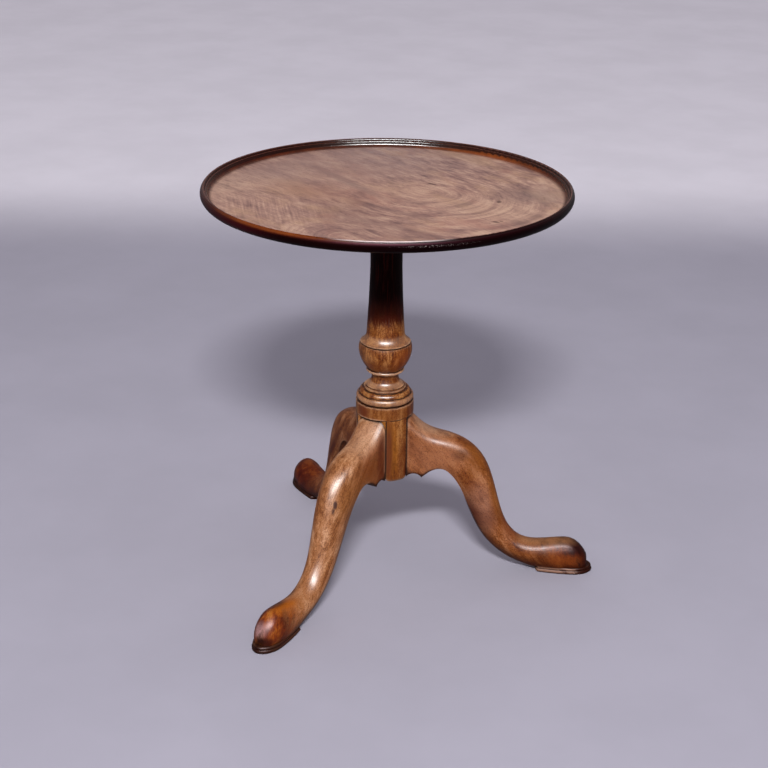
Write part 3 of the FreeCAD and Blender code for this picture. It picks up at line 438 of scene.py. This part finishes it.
# the top: faded figured field inside a dark moulded rim, dry wood below
topLook = {
    "turn": (0.0, 0.0, -13.0), "sway": 0.06, "swayScale": 5.0,
    "bands": (46.0, 16.0, 3.0, 0.6), "lines": (170.0, 30.0, 3.0, 0.65), "archFiner": 1.3,
    "fibre": ((55.0, 420.0, 420.0), 2.0, 0.6), "mottle": ((13.0, 22.0, 22.0), 6.0, 0.7),
    "fleck": ((170.0, 420.0, 420.0), 2.0, 0.6), "poreSpan": (0.58, 0.70), "poreAmount": 0.32,
    "bandShare": 0.32, "lineShare": 0.26, "fibreShare": 0.17, "mottleShare": 0.25, "toneSpan": (0.395, 0.605),
    "loopCentre": (0.060, 0.030, 0.0), "loopStretch": (0.80, 1.0, 0.0),
    "archCentre": (0.086, -0.238, 0.0), "archStretch": (0.62, 1.0, 0.0),
    "archPlace": (0.055, -0.222, 0.682), "archSizes": (0.115, 0.060, 0.02), "archEdge": 0.3,
    "stops": [(0.0, (0.20, 0.105, 0.090)), (0.3, (0.325, 0.175, 0.140)), (0.65, (0.45, 0.255, 0.192)),
              (1.0, (0.60, 0.38, 0.275))],
    "redDrift": (0.40, 0.175, 0.130), "goldDrift": (0.53, 0.31, 0.18), "driftSpan": (0.5, 0.68),
    "driftFineness": (7.0, 12.0, 0.0), "driftDetail": (4.0, 0.65), "driftAmount": 0.45,
    "lineColour": (0.17, 0.085, 0.072), "lineMix": (0.65, 0.35), "lineSpan": (0.42, 0.34), "lineAmount": (0.35, 0.38),
    "calmCentre": (-0.165, 0.040, 0.682), "calmSizes": (0.13, 0.15, 0.02), "calmColour": (0.385, 0.218, 0.172),
    "calmEdge": 0.6, "calmAmount": 0.5,
    "rippleCentre": (-0.095, -0.185, 0.682), "rippleSizes": (0.10, 0.06, 0.02), "rippleTurn": 41.0,
    "rippleFineness": (1.9 / 0.0072, 11.0, 0.0), "rippleDetail": (1.0, 0.5), "rippleSway": (9.0, 0.02),
    "rippleEdge": 0.7, "rippleAmount": 0.85, "teethShare": 0.38, "teethLift": 0.31, "teethWeight": 0.58,
    "patchEdge": 0.85, "patchBreak": (0.3, 0.6, 0.4), "runBreak": (0.35, 0.55, 0.3),
    "patches": [((0.045, 0.025, 0.682), (0.08, 0.045, 0.02), (0.50, 0.285, 0.20), 0.45),
                ((0.19, 0.015, 0.682), (0.07, 0.05, 0.02), (0.58, 0.36, 0.25), 0.5),
                ((-0.24, -0.125, 0.682), (0.055, 0.08, 0.02), (0.58, 0.37, 0.27), 0.45),
                ((0.10, -0.185, 0.682), (0.13, 0.05, 0.02), (0.24, 0.125, 0.100), 0.32),
                ((-0.13, -0.08, 0.682), (0.06, 0.035, 0.02), (0.42, 0.205, 0.11), 0.3),
                ((-0.055, -0.058, 0.682), (0.075, 0.04, 0.02), (0.28, 0.105, 0.07), 0.4),
                ((0.0, -0.122, 0.682), (0.065, 0.032, 0.02), (0.20, 0.092, 0.072), 0.45),
                ((0.197, 0.12, 0.682), (0.05, 0.042, 0.02), (0.20, 0.125, 0.11), 0.5),
                # painted reflection: a grey-lavender sheen over the far side of the field
                ((-0.130, 0.195, 0.682), (0.15, 0.11, 0.02), (0.27, 0.190, 0.190), 0.42),
                ((-0.235, 0.010, 0.682), (0.07, 0.08, 0.02), (0.28, 0.180, 0.165), 0.35),
                ((0.237, 0.149, 0.682), (0.04, 0.05, 0.02), (0.52, 0.335, 0.25), 0.4)],
    "pits": [((0.2254, -0.039, 0.682), (0.006, 0.0035, 0.01)), ((0.176, 0.0568, 0.682), (0.004, 0.0045, 0.01)),
             ((0.0341, 0.0825, 0.682), (0.009, 0.003, 0.01)), ((0.231, -0.032, 0.682), (0.003, 0.002, 0.01))],
    "runs": [((-0.1236, 0.0139, 0.682), (-0.0269, -0.0046, 0.682), 0.0011, (0.55, 0.38, 0.29), 0.6),
             ((-0.190, 0.058, 0.682), (0.020, -0.036, 0.682), 0.010, (0.20, 0.110, 0.098), 0.5),
             ((-0.020, -0.075, 0.682), (0.150, -0.085, 0.682), 0.009, (0.20, 0.105, 0.090), 0.4),
             ((0.020, -0.150, 0.682), (0.190, -0.150, 0.682), 0.010, (0.21, 0.110, 0.094), 0.45)],
    "pitColour": (0.06, 0.024, 0.016), "pitAmount": 0.75,
    "rimRadius": 0.2914, "rimSoft": (0.002, 0.001), "rimSide": (0.837, 0.547, 0.0), "farSide": (-0.547, 0.837, 0.0),
    "rimColours": ((0.042, 0.0048, 0.0020), (0.012, 0.0014, 0.0022)), "rimSpan": (-0.12, 0.05),
    "rimFoots": ((0.030, 0.0014, 0.0030), (0.0030, 0.0003, 0.0004)), "rimFootSpan": (-0.235, -0.150),
    "rimFootHeights": (0.6932, 0.6872), "rimFootAmount": 0.94,
    "rimWarm": (0.085, 0.024, 0.013), "warmRadii": (0.2992, 0.2982), "warmSide": (-0.02, 0.12, 0.4, 1.0),
    "warmBreak": (0.3, 0.6, 0.35, 0.85),
    "coveColour": (0.040, 0.0065, 0.0012), "coveLift": 2.0, "coveSpan": (0.4, 0.62),
    "coveStarts": (0.2830, 0.2760), "coveReach": (-0.05, 0.20), "coveEnd": 0.2905,
    "coveGlow": (0.0324, 0.2769, 0.685), "coveGlowSizes": (0.10, 0.06, 0.02), "coveGlowBreak": (0.3, 0.6, 0.4, 0.9),
    "glowColour": (0.22, 0.048, 0.007), "glowCentre": (-0.026, -0.297, 0.6940), "glowSizes": (0.12, 0.04, 0.0028),
    "glowEdge": 0.7, "glowBreak": (0.3, 0.6, 0.45, 0.95),
    "worn": [(0.2976, 0.0009, (0.170, 0.070, 0.054), 0.7), (0.2932, 0.0007, (0.130, 0.046, 0.030), 0.65)],
    "upperHeights": (0.684, 0.686), "upperBreak": (0.35, 0.6, 0.6, 1.0),
    "quirks": [(0.2952, 0.0007), (0.2916, 0.0007)], "quirkColour": (0.008, 0.0014, 0.0010), "quirkAmount": 0.9,
    "crestCentre": (0.168, -0.2470, 0.695), "crestSizes": (0.070, 0.070, 0.03), "crestHighlightColour": (0.80, 0.66, 0.64),
    "crestHeights": (0.6934, 0.6943), "crestRadii": (0.2980, 0.2986), "crestEdge": 0.5, "crestAmount": 0.9,
    "chipCentre": (0.222, -0.205, 0.6875), "chipSizes": (0.055, 0.055, 0.0015), "chipColour": (0.36, 0.30, 0.29),
    "chipFineness": (1.0, 1.0, 1.6), "chipCloud": (520.0, 2.0, 0.6), "chipSpan": (0.60, 0.66), "chipEdge": 0.5,
    "chipAmount": 0.75,
    "fieldHeight": 0.682, "underDepths": (0.0005, 0.004), "underColour": (0.12, 0.06, 0.033), "underAmount": 0.8,
    "rimGloss": (0.13, 0.05, 0.07), "glossHeights": (0.6934, 0.6918), "glossRadii": (0.2984, 0.2990),
    "rough": (0.36, 0.46), "coveRough": 0.21, "rimRough": 0.36, "gloss": 1.35,
    "bumpDepth": 0.0002, "bumpStrength": 0.2,
}


def topFinish(look):
    finish, tree = newFinish("topMahogany")
    place, grain = grainSpace(tree, look["turn"])
    turn = math.radians(look["turn"][2])

    def loops(centre, stretch, opensLeft):  # figure that runs with the grain and turns round at one end
        x = centre[0] * math.cos(turn) + centre[1] * math.sin(turn)
        y = centre[1] * math.cos(turn) - centre[0] * math.sin(turn)
        bent = swayed(tree, moved(tree, grain, (-x, -y, 0.0)), look["swayScale"], look["sway"])
        along, across = addNode(tree, "SeparateXYZ", {0: bent}).outputs[0:2]
        end = calc(tree, "MAXIMUM" if opensLeft else "MINIMUM", along, 0.0)
        joined = addNode(tree, "CombineXYZ", {0: end, 1: across}).outputs[0]
        return along, lengthOf(tree, joined, stretch)

    along, level = loops(look["loopCentre"], look["loopStretch"], True)
    archLevel = loops(look["archCentre"], look["archStretch"], False)[1]
    arch = spotAt(tree, place, look["archPlace"], look["archSizes"], look["archEdge"])

    def flow(rings, fineness, length):
        return addNode(tree, "CombineXYZ", {0: both(tree, rings, fineness), 1: both(tree, along, length)}).outputs[0]

    def rings(fineness, length, detail, rough):
        main = cloud(tree, flow(level, fineness, length), 1.0, detail, rough).outputs[0]
        front = cloud(tree, flow(archLevel, fineness * look["archFiner"], length), 1.0, detail, rough).outputs[0]
        return blendLevel(tree, arch, main, front)

    bands = rings(*look["bands"])
    lines = rings(*look["lines"])
    fibre = grainCloud(tree, grain, *look["fibre"])
    mottle = grainCloud(tree, grain, *look["mottle"])
    fleck = grainCloud(tree, grain, *look["fleck"])
    pores = fade(tree, fleck, *look["poreSpan"])

    # comb-like ripple across the grain
    comb = swayed(tree, ownSpace(tree, place, look["rippleTurn"]), *look["rippleSway"])
    teeth = grainCloud(tree, comb, look["rippleFineness"], *look["rippleDetail"])
    teeth = calc(tree, "ADD", both(tree, teeth, look["teethShare"]), look["teethLift"])
    ripple = spotAt(tree, place, look["rippleCentre"], look["rippleSizes"], look["rippleEdge"])
    figure = both(tree, bands, look["bandShare"])
    figure = calc(tree, "ADD", figure, both(tree, lines, look["lineShare"]))
    combed = blendLevel(tree, both(tree, ripple, look["rippleAmount"]), figure,
                        both(tree, teeth, look["teethWeight"]))

    # faded field
    tone = calc(tree, "ADD", combed, both(tree, fibre, look["fibreShare"]))
    tone = calc(tree, "ADD", tone, both(tree, mottle, look["mottleShare"]))
    tone = fade(tree, tone, *look["toneSpan"])
    colour = colourBand(tree, tone, look["stops"])
    lineMix = calc(tree, "ADD", both(tree, lines, look["lineMix"][0]), both(tree, bands, look["lineMix"][1]))
    darkLines = both(tree, fade(tree, lineMix, *look["lineSpan"]), calc(tree, "SUBTRACT", 1.0, ripple))
    colour = overlay(tree, darkLines, scaled(tree, arch, *look["lineAmount"]), colour, look["lineColour"])
    drift = cloud(tree, stretched(tree, grain, look["driftFineness"]), 1.0, *look["driftDetail"])
    redder, golder = addNode(tree, "SeparateColor", {0: drift.outputs["Color"]}).outputs[0:2]
    colour = overlay(tree, fade(tree, redder, *look["driftSpan"]), look["driftAmount"], colour, look["redDrift"])
    colour = overlay(tree, fade(tree, golder, *look["driftSpan"]), look["driftAmount"], colour, look["goldDrift"])
    calm = spotAt(tree, place, look["calmCentre"], look["calmSizes"], look["calmEdge"])
    colour = overlay(tree, calm, look["calmAmount"], colour, look["calmColour"])
    for centre, halfSizes, tint, amount in look["patches"]:
        patch = spotAt(tree, place, centre, halfSizes, look["patchEdge"])
        patch = both(tree, patch, fade(tree, lines, *look["patchBreak"]))
        colour = overlay(tree, patch, amount, colour, tint)
    colour = overlay(tree, pores, look["poreAmount"], colour, look["pitColour"])
    for centre, halfSizes in look["pits"]:
        colour = overlay(tree, spotAt(tree, place, centre, halfSizes), look["pitAmount"], colour, look["pitColour"])
    for start, end, halfWidth, tint, amount in look["runs"]:
        run = both(tree, lineAt(tree, place, start, end, halfWidth), fade(tree, lines, *look["runBreak"]))
        colour = overlay(tree, run, amount, colour, tint)

    # cove, where old wax reaches further in at the far side
    radius = lengthOf(tree, place, (1.0, 1.0, 0.0))
    z = heightOf(tree, place)
    depth = dotWith(tree, place, look["farSide"])
    coveStart = fade(tree, depth, *look["coveReach"], *look["coveStarts"])
    cove = fade(tree, radius, coveStart, look["coveEnd"])
    paler = [channel * look["coveLift"] for channel in look["coveColour"]]
    coveTone = blendColour(tree, fade(tree, mottle, *look["coveSpan"]), solid(look["coveColour"]), solid(paler))
    lit = both(tree, spotAt(tree, place, look["coveGlow"], look["coveGlowSizes"], look["glowEdge"]),
               fade(tree, mottle, *look["coveGlowBreak"]))
    coveTone = overlay(tree, lit, 1.0, coveTone, look["glowColour"])
    colour = blendColour(tree, cove, colour, coveTone)

    # moulded rim
    rim = fade(tree, radius, look["rimRadius"] - look["rimSoft"][0], look["rimRadius"] + look["rimSoft"][1])
    # the right half of the rim is painted darker as shade
    side = dotWith(tree, place, look["rimSide"])
    rimTone = blendColour(tree, fade(tree, side, *look["rimSpan"]), *[solid(tint) for tint in look["rimColours"]])
    # painted shade: the lower outer face of the rim, where it turns under, goes nearly black
    rimFoot = blendColour(tree, fade(tree, side, *look["rimFootSpan"]), *[solid(tint) for tint in look["rimFoots"]])
    footShare = fade(tree, z, *look["rimFootHeights"], 0.0, look["rimFootAmount"])
    rimTone = blendColour(tree, footShare, rimTone, rimFoot)
    inner = both(tree, fade(tree, radius, *look["warmRadii"]), fade(tree, side, *look["warmSide"]))
    rimTone = overlay(tree, inner, fade(tree, mottle, *look["warmBreak"]), rimTone, look["rimWarm"])
    colour = blendColour(tree, rim, colour, rimTone)
    glow = both(tree, rim, spotAt(tree, place, look["glowCentre"], look["glowSizes"], look["glowEdge"]))
    colour = overlay(tree, glow, fade(tree, mottle, *look["glowBreak"]), colour, look["glowColour"])
    upper = both(tree, fade(tree, z, *look["upperHeights"]), fade(tree, mottle, *look["upperBreak"]))
    # pale rings on the crest and bead: wear together with painted sheen
    for middle, halfWidth, tint, amount in look["worn"]:
        ring = both(tree, bandAt(tree, radius, middle, halfWidth), upper)
        colour = overlay(tree, ring, amount, colour, tint)
    # dark lines in the rim's grooves: painted shade
    for middle, halfWidth in look["quirks"]:
        ring = both(tree, bandAt(tree, radius, middle, halfWidth), upper)
        colour = overlay(tree, ring, look["quirkAmount"], colour, look["quirkColour"])
    # painted highlight along the front of the crest
    crestHighlight = both(tree, fade(tree, z, *look["crestHeights"]), fade(tree, radius, *look["crestRadii"]))
    crestHighlight = both(tree, crestHighlight, spotAt(tree, place, look["crestCentre"], look["crestSizes"], look["crestEdge"]))
    colour = overlay(tree, crestHighlight, look["crestAmount"], colour, look["crestHighlightColour"])
    chips = cloud(tree, stretched(tree, place, look["chipFineness"]), *look["chipCloud"]).outputs[0]
    chips = both(tree, fade(tree, chips, *look["chipSpan"]),
                 spotAt(tree, place, look["chipCentre"], look["chipSizes"], look["chipEdge"]))
    colour = overlay(tree, both(tree, chips, rim), look["chipAmount"], colour, look["chipColour"])

    # dry wood below, then the polish
    below = fade(tree, z, *[look["fieldHeight"] - drop for drop in look["underDepths"]])
    inside = calc(tree, "SUBTRACT", 1.0, rim)
    dry = blendColour(tree, look["underAmount"], colour, solid(look["underColour"]))
    colour = blendColour(tree, both(tree, below, inside), colour, dry)
    lowRim = both(tree, fade(tree, radius, *look["glossRadii"]), fade(tree, z, *look["glossHeights"]))
    gloss = blendColour(tree, lowRim, solid(fullGloss), solid(look["rimGloss"]))
    rough = fade(tree, mottle, *mottleSpan, *look["rough"])
    rough = blendLevel(tree, cove, rough, look["coveRough"])
    rough = blendLevel(tree, lowRim, rough, look["rimRough"])
    closeFinish(tree, colour, rough, calc(tree, "SUBTRACT", fibre, pores), look["bumpDepth"], look["bumpStrength"],
                **{"IOR": look["gloss"], "Specular Tint": gloss})
    return finish


# bearers, block and wedge: plain dry mahogany
frameLook = {
    "sway": 0.012, "bandShare": 0.45, "streakShare": 0.35, "mottleShare": 0.2, "fleckLow": 0.55,
    "toneLow": 0.34, "toneHigh": 0.66,
    "stops": [(0.0, (0.07, 0.024, 0.011)), (0.4, (0.13, 0.05, 0.024)), (1.0, (0.22, 0.095, 0.048))],
    "dirtAndShadeColour": (0.02, 0.008, 0.005), "poreAmount": 0.5,
    "rough": (0.45, 0.62), "bumpDepth": 0.0002, "bumpStrength": 0.4,
}


def frameFinish(name, look, turn):
    finish, tree = newFinish(name)
    grain = grainSpace(tree, turn)[1]
    tone, pores, mottle, streaks = straightGrain(tree, grain, look)
    colour = colourBand(tree, tone, look["stops"])
    colour = overlay(tree, pores, look["poreAmount"], colour, look["dirtAndShadeColour"])
    rough = fade(tree, mottle, *mottleSpan, *look["rough"])
    closeFinish(tree, colour, rough, calc(tree, "SUBTRACT", streaks, pores), look["bumpDepth"], look["bumpStrength"])
    return finish


# catch, keeper and screws
metalLook = {
    "tarnish": (160.0, 5.0, 0.6), "tarnishSpan": (0.42, 0.66), "roughSpan": (0.4, 0.66),
    "brush": ((90.0, 1400.0, 1400.0), 2.0, 0.5), "bumpDepth": 0.00008, "bumpStrength": 0.3,
    "brass": {"clean": (0.56, 0.36, 0.13), "dull": (0.16, 0.09, 0.032), "rough": (0.26, 0.5)},
    "steel": {"clean": (0.30, 0.29, 0.28), "dull": (0.09, 0.06, 0.045), "rough": (0.35, 0.6)},
}


def metalFinish(name, look, metal):
    finish, tree = newFinish(name)
    place = addNode(tree, "TexCoord").outputs["Object"]
    tarnish = cloud(tree, place, *look["tarnish"]).outputs[0]
    brushed = grainCloud(tree, place, *look["brush"])
    share = fade(tree, tarnish, *look["tarnishSpan"])
    colour = blendColour(tree, share, solid(metal["clean"]), solid(metal["dull"]))
    rough = fade(tree, tarnish, *look["roughSpan"], *metal["rough"])
    closeFinish(tree, colour, rough, brushed, look["bumpDepth"], look["bumpStrength"], Metallic=1.0)
    return finish


def dress(node, finish):
    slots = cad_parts[node].data.materials
    slots.clear()
    slots.append(finish)


dress("tray_top", topFinish(topLook))
dress("column", columnFinish(columnLook))
for nodeName, leg in legLook["legs"].items():
    dress(nodeName, legFinish(nodeName + "Mahogany", legLook, leg))
bearerFinish = frameFinish("bearerMahogany", frameLook, (0.0, 0.0, 90.0))
blockFinish = frameFinish("blockMahogany", frameLook, (0.0, 0.0, 0.0))
wedgeFinish = frameFinish("wedgeMahogany", frameLook, (0.0, -90.0, 0.0))
for nodeName in ("bearer_left", "bearer_right"):
    dress(nodeName, bearerFinish)
dress("pivot_block", blockFinish)
dress("tenon_wedge", wedgeFinish)
brassFinish = metalFinish("oldBrass", metalLook, metalLook["brass"])
steelFinish = metalFinish("oldSteel", metalLook, metalLook["steel"])
for nodeName in ("catch_plate", "catch_case", "catch_knob", "keeper_plate"):
    dress(nodeName, brassFinish)
for nodeName in ("catch_bolt", "catch_spring", "catch_screws", "keeper_screws", "bearer_screws"):
    dress(nodeName, steelFinish)
print("finishes on")


# floor, lamps and camera
studioLook = {
    "floorColour": (0.42, 0.40, 0.475), "farColour": (0.90, 0.857, 0.94), "farFrom": 1.7, "farTo": 2.5,
    "floorSize": 30.0, "paint": (3.0, 4.0, 0.6), "paintShade": (0.97, 1.03), "floorRough": (0.5, 0.6),
    "skyStops": [(0.0, (0.20, 0.195, 0.207)), (0.3, (0.31, 0.302, 0.320)), (0.5, (0.42, 0.41, 0.44)),
                 (0.75, (0.57, 0.555, 0.59)), (1.0, (0.62, 0.605, 0.64))],
    "keyAzimuth": 33.1, "keyRise": 38.0, "keyDistance": 6.0, "keySize": (1.0, 0.44), "keyPower": 335.0,
    "keyAim": (0.0, 0.0, 0.45), "shineSize": (5.2, 1.0), "shinePower": 2300.0,
    "glossDim": 0.7,
    "cameraPlace": (1.39741, -2.14344, 1.42879), "heading": 33.140, "pitch": 22.987, "roll": 0.6855,
    "lens": 76.405, "sensor": 36.0,
}


def backWay(look):  # level direction from the lamps past the table
    angle = math.radians(look["keyAzimuth"])
    return (-math.sin(angle), math.cos(angle), 0.0)


def makeFloor(look):
    bpy.ops.object.select_all(action="DESELECT")
    bpy.ops.mesh.primitive_grid_add(x_subdivisions=4, y_subdivisions=4, size=look["floorSize"])
    floor = bpy.context.object
    floor.name = "studioFloor"
    finish, tree = newFinish("paleFloor")
    place = addNode(tree, "TexCoord").outputs["Object"]
    paint = cloud(tree, place, *look["paint"]).outputs[0]
    shade = fade(tree, paint, *mottleSpan, *look["paintShade"])
    far = fade(tree, dotWith(tree, place, backWay(look)), look["farFrom"], look["farTo"])
    colour = blendColour(tree, far, solid(look["floorColour"]), solid(look["farColour"]))
    grey = addNode(tree, "CombineXYZ", {0: shade, 1: shade, 2: shade}).outputs[0]
    colour = blendColour(tree, 1.0, colour, grey, "MULTIPLY")
    shiny = addNode(tree, "LightPath").outputs["Is Glossy Ray"]
    colour = overlay(tree, shiny, look["glossDim"], colour, (0.0, 0.0, 0.0))  # keeps floor haze out of the dark wood
    rough = fade(tree, paint, *mottleSpan, *look["floorRough"])
    closeFinish(tree, colour, rough, **{"Specular IOR Level": 0.0})
    floor.data.materials.append(finish)


def makeSky(look):
    world = bpy.data.worlds.new("studioSky")
    world.use_nodes = True
    scene.world = world
    tree = world.node_tree
    tree.nodes.clear()
    way = addNode(tree, "TexCoord").outputs["Generated"]
    turn = dotWith(tree, way, backWay(look))
    colour = colourBand(tree, scaled(tree, turn, 0.5, 0.5), look["skyStops"])
    shiny = addNode(tree, "LightPath").outputs["Is Glossy Ray"]
    level = calc(tree, "SUBTRACT", 1.0, both(tree, shiny, look["glossDim"]))
    light = addNode(tree, "Background", {"Color": colour, "Strength": level})
    out = addNode(tree, "OutputWorld")
    tree.links.new(light.outputs[0], out.inputs["Surface"])


def makeLamp(look, name, size, power):
    angle = math.radians(look["keyAzimuth"])
    rise = math.radians(look["keyRise"])
    aim = look["keyAim"]
    reach = look["keyDistance"]
    lamp = bpy.data.lights.new(name, "AREA")
    lamp.shape = "RECTANGLE"
    lamp.size, lamp.size_y = size
    lamp.energy = power
    box = bpy.data.objects.new(name, lamp)
    scene.collection.objects.link(box)
    box.location = (aim[0] + reach * math.sin(angle) * math.cos(rise),
                    aim[1] - reach * math.cos(angle) * math.cos(rise), aim[2] + reach * math.sin(rise))
    box.rotation_euler = (math.radians(90.0) - rise, 0.0, angle)
    return box


def makeCamera(look):
    lens = bpy.data.cameras.new("photoCamera")
    lens.lens = look["lens"]
    lens.sensor_width = look["sensor"]
    camera = bpy.data.objects.new("photoCamera", lens)
    scene.collection.objects.link(camera)
    turn = (Matrix.Rotation(math.radians(look["heading"]), 4, "Z")
            @ Matrix.Rotation(math.radians(90.0 - look["pitch"]), 4, "X")
            @ Matrix.Rotation(math.radians(look["roll"]), 4, "Z"))
    camera.matrix_world = Matrix.Translation(look["cameraPlace"]) @ turn
    scene.camera = camera


makeFloor(studioLook)
makeSky(studioLook)
makeLamp(studioLook, "keyLamp", studioLook["keySize"], studioLook["keyPower"])
shine = makeLamp(studioLook, "shineLamp", studioLook["shineSize"], studioLook["shinePower"])
shine.visible_diffuse = False  # only lifts the highlights on the wax
makeCamera(studioLook)
print("studio set")
